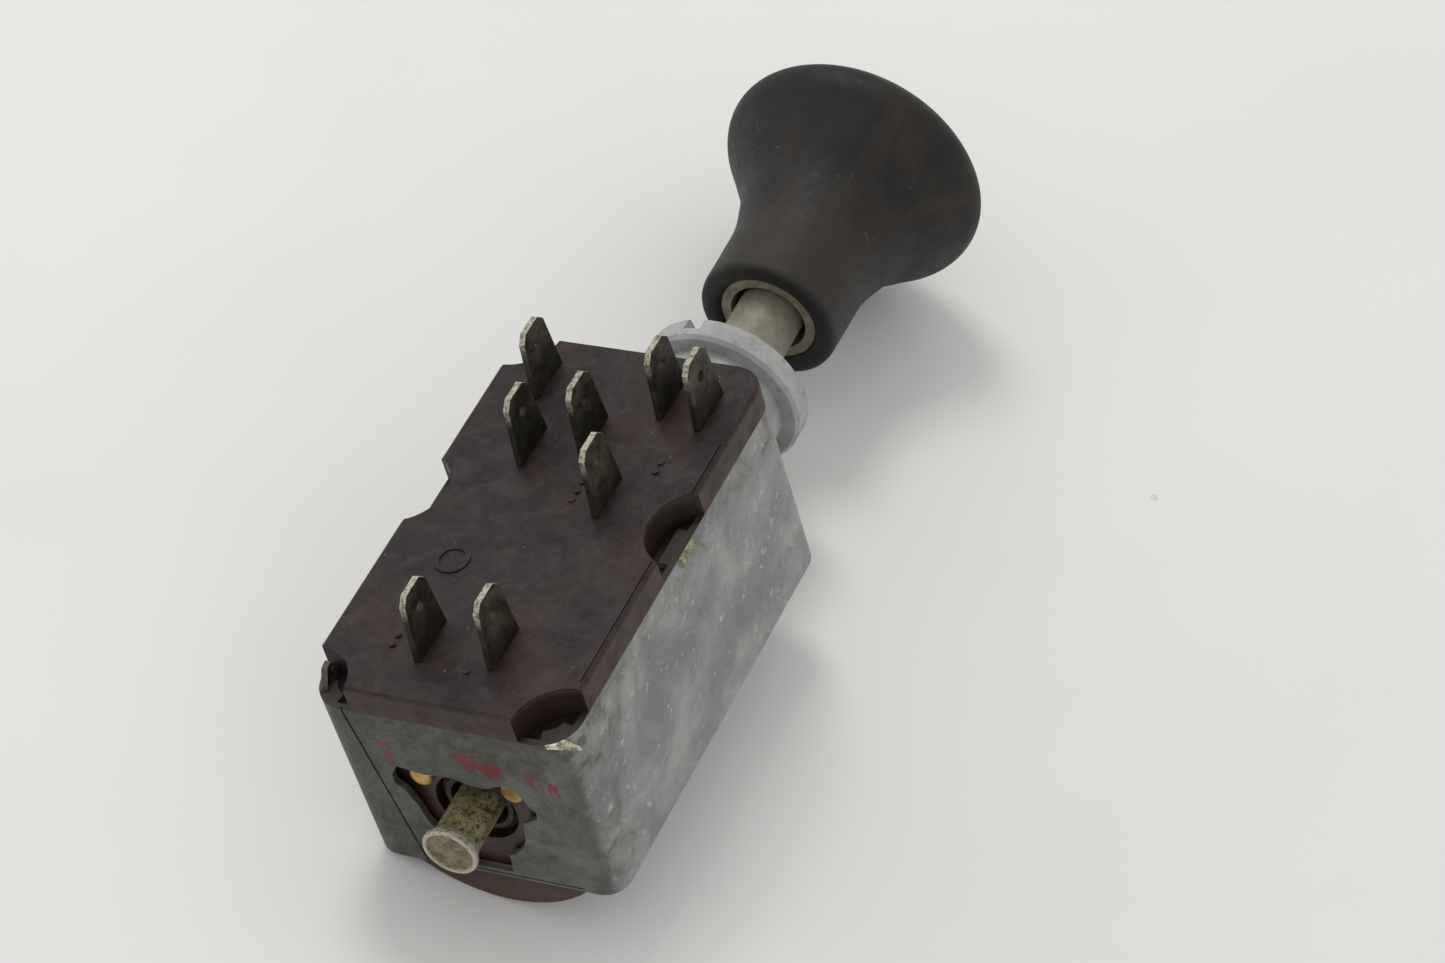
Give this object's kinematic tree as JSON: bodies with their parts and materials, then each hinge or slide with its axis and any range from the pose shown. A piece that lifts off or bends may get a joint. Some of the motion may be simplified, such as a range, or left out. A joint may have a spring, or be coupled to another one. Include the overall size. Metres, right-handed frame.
{
  "type": "pull-and-turn panel switch",
  "caption": "Panel switch in a folded steel box: pull-and-turn knob on a shaft through a threaded nose, with upright push-on blade terminals.",
  "frame": {"origin": "where the shaft axis meets the box's front (panel) face", "axes": "+Y out along the shaft towards the knob, +Z towards the blade terminals, +X to the right when the box is seen from its rear (rod-end) side"},
  "size_m": [0.0373, 0.1338, 0.0486],
  "materials": {
    "case_steel": "dull blue-grey zinc plate, mottled with white and dark corrosion",
    "plate_phenolic": "very dark maroon-brown moulded phenolic, dusty, worn semi-gloss",
    "blade_brass": "tarnished dark olive brass with bright worn edges",
    "contact_brass": "plain brass",
    "dimmer_phenolic": "red-brown phenolic, glossy worn edge",
    "coil_wire": "wound resistance wire, oxidised",
    "nose_metal": "light blue-grey satin die-cast metal",
    "slide_plastic": "fawn moulded nylon",
    "spring_steel": "bright wire",
    "rod_steel": "yellow passivated, mottled, bright at the rim",
    "hub_plastic": "dark moulded plastic, dusty",
    "knob_plastic": "brown-black satin moulding, dusty",
    "insert_metal": "dull beige brass"
  },
  "bodies": {
    "case": {"housing": "case_steel", "terminal_plate": "plate_phenolic", "terminal_1": "blade_brass", "terminal_2": "blade_brass", "terminal_3": "blade_brass", "terminal_4": "blade_brass", "terminal_5": "blade_brass", "terminal_6": "blade_brass", "terminal_7": "blade_brass", "terminal_8": "blade_brass", "contact_buttons": "contact_brass", "dimmer_base": "dimmer_phenolic", "dimmer_coil": "coil_wire", "dimmer_rivets": "contact_brass", "nose_bushing": "nose_metal", "ring_nut": "nose_metal"},
    "carriage": {"carriage": "slide_plastic", "bridge_left": "contact_brass", "bridge_centre": "contact_brass", "bridge_right": "contact_brass", "bridge_springs": "spring_steel", "detent_balls": "spring_steel", "detent_springs": "spring_steel"},
    "rod": {"pull_rod": "rod_steel", "rod_circlip": "spring_steel", "knob": "knob_plastic", "knob_insert": "insert_metal"},
    "dimmer": {"dimmer_hub": "hub_plastic", "hub_clip": "spring_steel", "wiper_arm": "contact_brass"}
  },
  "joints": [
    {"name": "knob_pull", "type": "slide", "parent": "case", "child": "carriage", "axis": [0, 1, 0], "range_m": [0, 0.012]},
    {"name": "knob_turn", "type": "hinge", "parent": "carriage", "child": "rod", "pos_m": [0, 0, 0], "axis": [0, 1, 0], "range_deg": [-80, 80]},
    {"name": "wiper_turn", "type": "hinge", "parent": "case", "child": "dimmer", "pos_m": [0, 0, 0], "axis": [0, 1, 0], "range_deg": [-80, 80]}
  ],
  "couplings": [
    {"joint": "wiper_turn", "follows": "knob_turn", "ratio": 1}
  ]
}
